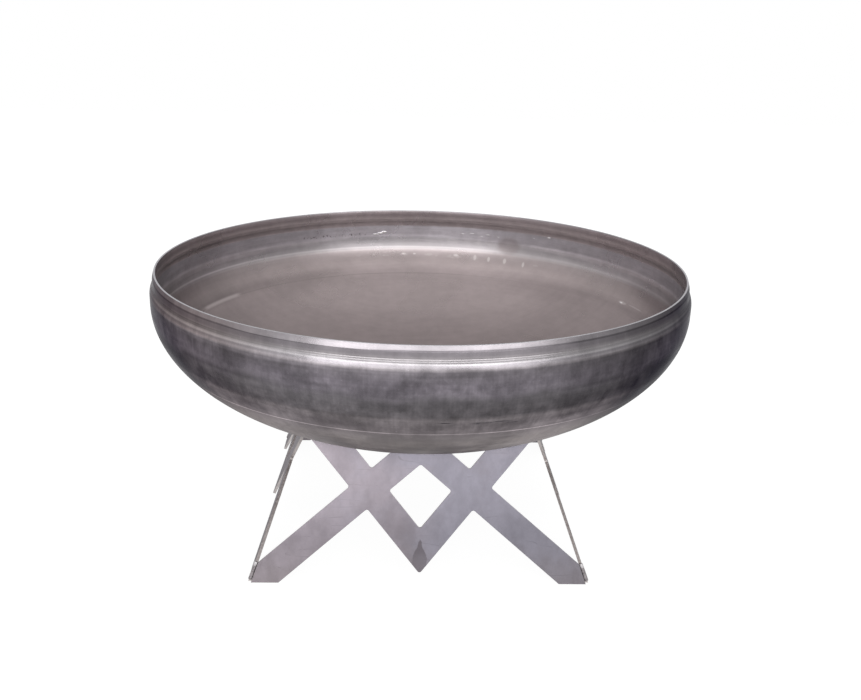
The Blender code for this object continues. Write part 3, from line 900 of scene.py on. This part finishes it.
def makeCutSteel():
    finish = cutFinish
    material, tree, shader = newMaterial("cut_edge_steel", finish)
    grains = makeGrains(tree, objectPlace(tree), finish["grains"])
    lines = grains["lines"]
    clouded = fade(tree, grains["cloud"], *finish["clouded"])
    lined = fade(tree, lines, *finish["lined"])
    colour = painted(tree, finish["light"], (clouded, finish["dark"]), (lined, finish["bright"]))
    dress(tree, shader, colour, fade(tree, lines, *finish["rough"]), lines, finish["bump"])
    return material


# How a plate is taken over from the CAD model: points closer than this are joined, flatter edges than this
# are dissolved, faces that point the same way as the biggest one are the plate's faces, and the rest are cut
# edges. The bevel then rounds each edge that is sharper than its angle.
plateShape = {
    "join": 0.00001, "flat": 1, "sameWay": 0.95, "bevel": 0.0004, "bevelSteps": 2, "bevelFrom": 40,
}


def mergedCopy(node, name):
    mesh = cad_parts[node].data.copy()
    mesh.name = name
    mesh.materials.clear()
    shape = bmesh.new()
    shape.from_mesh(mesh)
    bmesh.ops.remove_doubles(shape, verts=shape.verts, dist=plateShape["join"])
    flat = math.radians(plateShape["flat"])
    bmesh.ops.dissolve_limit(shape, angle_limit=flat, verts=shape.verts, edges=shape.edges)
    shape.to_mesh(mesh)
    shape.free()
    for attribute in [a.name for a in mesh.attributes if a.name.startswith("custom_normal")]:
        mesh.attributes.remove(mesh.attributes[attribute])
    copy = bpy.data.objects.new(name, mesh)
    bpy.context.scene.collection.objects.link(copy)
    return copy


def makePlates():
    face, cut = makePlateSteel(), makeCutSteel()
    plates = []
    for side in ("front", "right", "rear", "left"):
        plate = mergedCopy("panel_" + side, side + "_plate")
        mesh = plate.data
        mesh.materials.append(face)
        mesh.materials.append(cut)
        biggest = max(mesh.polygons, key=lambda polygon: polygon.area).normal.copy()
        for polygon in mesh.polygons:
            polygon.use_smooth = False
            polygon.material_index = 0 if abs(polygon.normal.dot(biggest)) > plateShape["sameWay"] else 1
        bevel = plate.modifiers.new("edges", "BEVEL")
        bevel.width = plateShape["bevel"]
        bevel.segments = plateShape["bevelSteps"]
        bevel.limit_method = "ANGLE"
        bevel.angle_limit = math.radians(plateShape["bevelFrom"])
        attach(plate, "base")
        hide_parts("panel_" + side)
        plates.append(plate)
    return plates


plates = makePlates()
print("plates made:", [len(plate.data.polygons) for plate in plates])

# Weld beads lie in the open grooves between the plates' edges, as rows of drops. A foot's and a top corner's
# bead each run between two distances up the plate.
beadSize = {
    "halfWidth": 0.275, "lean": 20.5, "thickness": 0.00476, "outwards": 0.0047, "radius": 0.0032,
    "pitch": 0.0019, "foot": (0.0055, 0.0309), "top": (0.2375, 0.2440), "segments": 14, "rings": 8,
    "smallest": (0.92, 0.92, 0.6), "largest": (1.06, 1.06, 0.75), "tilt": 0.12, "seed": 7,
}


def beadCentre(up, quarter):
    # The middle of a bead at this distance up the plate, in one of the four corners
    size = beadSize
    sinLean, cosLean = math.sin(math.radians(size["lean"])), math.cos(math.radians(size["lean"]))
    inner = size["halfWidth"] - up * sinLean - size["thickness"] * cosLean
    corner = Vector((inner, -inner, up * cosLean - size["thickness"] * sinLean))
    outward = Vector((cosLean, -cosLean, 2 * sinLean)).normalized()
    return Matrix.Rotation(quarter * math.pi / 2, 3, "Z") @ (corner + outward * size["outwards"])


def weldTree(material):
    # Rows of drops along the lines, each a little different in size and tilt
    inputs = {"Lines": "Geometry", "Pitch": "Float", "Radius": "Float", "Seed": "Int"}
    tree, given = newTree("weld_beads", inputs, "Beads")

    def randomVector(lowest, highest):
        limits = {"Min": lowest, "Max": highest, "Seed": given["Seed"]}
        return addNode(tree, "FunctionNodeRandomValue", limits, data_type="FLOAT_VECTOR").outputs[0]

    curve = addNode(tree, "GeometryNodeMeshToCurve", {"Mesh": given["Lines"]})
    points = addNode(tree, "GeometryNodeCurveToPoints", {"Curve": curve.outputs[0], "Length": given["Pitch"]},
                     mode="LENGTH")
    ball = addNode(tree, "GeometryNodeMeshUVSphere", {
        "Segments": beadSize["segments"], "Rings": beadSize["rings"], "Radius": given["Radius"]})
    size = randomVector(beadSize["smallest"], beadSize["largest"])
    placed = addNode(tree, "GeometryNodeInstanceOnPoints", {
        "Points": points.outputs[0], "Instance": ball.outputs[0], "Rotation": points.outputs["Rotation"],
        "Scale": size})
    most = beadSize["tilt"]
    tilt = randomVector((-most, -most, 0.0), (most, most, 0.0))
    tilted = addNode(tree, "GeometryNodeRotateInstances", {"Instances": placed.outputs[0], "Rotation": tilt})
    smooth = addNode(tree, "GeometryNodeSetShadeSmooth", {"Geometry": tilted.outputs[0]})
    real = addNode(tree, "GeometryNodeRealizeInstances", {"Geometry": smooth.outputs[0]})
    finished = addNode(tree, "GeometryNodeSetMaterial", {"Geometry": real.outputs[0], "Material": material})
    return closeTree(tree, finished.outputs[0])


weldFinish = {
    "metallic": 0.9, "light": (0.30, 0.275, 0.285), "dark": (0.19, 0.175, 0.18), "burnt": (0.16, 0.135, 0.13),
    "grains": {
        "cloud": {"stretch": (120, 120, 120)},
        "heat": {"stretch": (40, 40, 40), "detail": 2.0, "roughness": 0.5},
    },
    # A painted highlight on the last drop of each foot's bead, at its top: its heights and their softness
    "dropHighlight": (0.55, 0.53, 0.54), "dropHighlightBand": (0.026, 0.034, 0.002),
    "clouded": (0.3, 0.7), "heated": (0.55, 0.75, 0.0, 0.6), "rough": (0.3, 0.7, 0.28, 0.45), "bump": 0.0001,
}


def makeWeldSteel():
    finish = weldFinish
    material, tree, shader = newMaterial("weld_bead_steel", finish)
    place = objectPlace(tree)
    grains = makeGrains(tree, place, finish["grains"])
    height = splitVector(tree, place)[2]
    # The last coat is a painted highlight on each foot bead's top drop
    colour = painted(
        tree, finish["light"], (fade(tree, grains["cloud"], *finish["clouded"]), finish["dark"]),
        (fade(tree, grains["heat"], *finish["heated"]), finish["burnt"]),
        (band(tree, height, *finish["dropHighlightBand"]), finish["dropHighlight"]))
    rough = fade(tree, grains["cloud"], *finish["rough"])
    dress(tree, shader, colour, rough, grains["cloud"], finish["bump"])
    return material


def makeWelds():
    points, lines = [], []
    for quarter in range(4):
        for kind in ("foot", "top"):
            start, end = beadSize[kind]
            lines.append((len(points), len(points) + 1))
            points += [beadCentre(start, quarter), beadCentre(end, quarter)]
    mesh = bpy.data.meshes.new("weld_lines")
    mesh.from_pydata(points, lines, [])
    values = {"Pitch": beadSize["pitch"], "Radius": beadSize["radius"], "Seed": beadSize["seed"]}
    welds = runTree("corner_welds", mesh, weldTree(makeWeldSteel()), values)
    corners = ("front_right", "rear_right", "rear_left", "front_left")
    names = ["weld_" + kind + "_" + corner for kind in ("foot", "top") for corner in corners]
    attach(welds, "base")
    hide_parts(*names)
    return welds


welds = makeWelds()
print("welds made:", len(welds.data.polygons), "faces")
